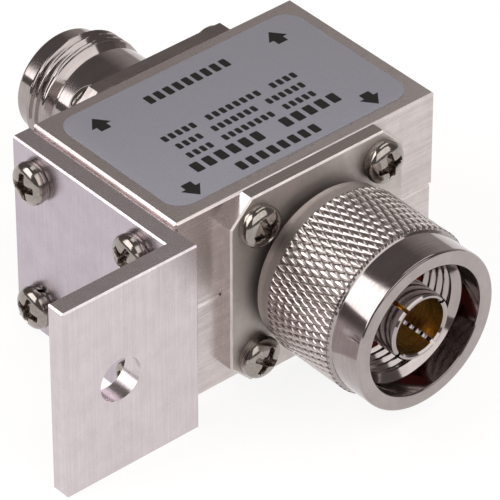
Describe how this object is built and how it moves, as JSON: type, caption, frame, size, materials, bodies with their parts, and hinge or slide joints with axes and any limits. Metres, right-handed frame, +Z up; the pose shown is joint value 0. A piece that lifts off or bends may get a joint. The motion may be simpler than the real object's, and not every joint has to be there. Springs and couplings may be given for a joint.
{
  "type": "coax lightning arrestor",
  "caption": "In-line coaxial surge arrestor: split metal housing with a male coupling-nut connector, a female threaded connector, an angle bracket and a gas tube inside.",
  "frame": {"origin": "centre of the bracket's mounting hole, on the outer face of the bracket's leg", "axes": "+X along the coax axis towards the male connector and out of the leg's mounting face; +Y from the leg towards the housing; +Z up, out of the labelled top"},
  "size_m": [0.0634, 0.0569, 0.0262],
  "materials": {
    "housing_metal": "satin white plating",
    "bracket_metal": "brushed white plating",
    "label_film": "satin metallised film",
    "connector_metal": "bright white plating over brass",
    "screw_steel": "bright",
    "spring_metal": "plain spring bronze",
    "gold_contact": "gold plated",
    "line_metal": "machined",
    "red_rubber": "matt silicone",
    "insulator": "white fluoropolymer",
    "tube_ceramic": "fired alumina",
    "electrode_metal": "bright"
  },
  "bodies": {
    "arrestor": {"lower_housing": "housing_metal", "upper_housing": "housing_metal", "label": "label_film", "mounting_bracket": "bracket_metal", "bracket_lock_washers": "screw_steel", "bracket_screws": "screw_steel", "male_body": "connector_metal", "male_outer_contact": "connector_metal", "male_insulator": "insulator", "male_pin": "gold_contact", "male_gasket": "red_rubber", "nut_retaining_ring": "spring_metal", "male_lock_washers": "screw_steel", "male_flange_screws": "screw_steel", "female_body": "connector_metal", "female_insulator": "insulator", "female_contact": "gold_contact", "female_lock_washers": "screw_steel", "female_flange_screws": "screw_steel", "equipment_line": "line_metal", "blocking_disc": "insulator", "antenna_line": "line_metal", "gas_tube_ceramic": "tube_ceramic", "gas_tube_electrodes": "electrode_metal", "tube_spring": "spring_metal"},
    "nut": {"coupling_nut": "connector_metal"}
  },
  "joints": [
    {"name": "nut_turn", "type": "hinge", "parent": "arrestor", "child": "nut", "pos_m": [0.008, 0.03015, 0.0006], "axis": [1, 0, 0], "continuous": true}
  ]
}
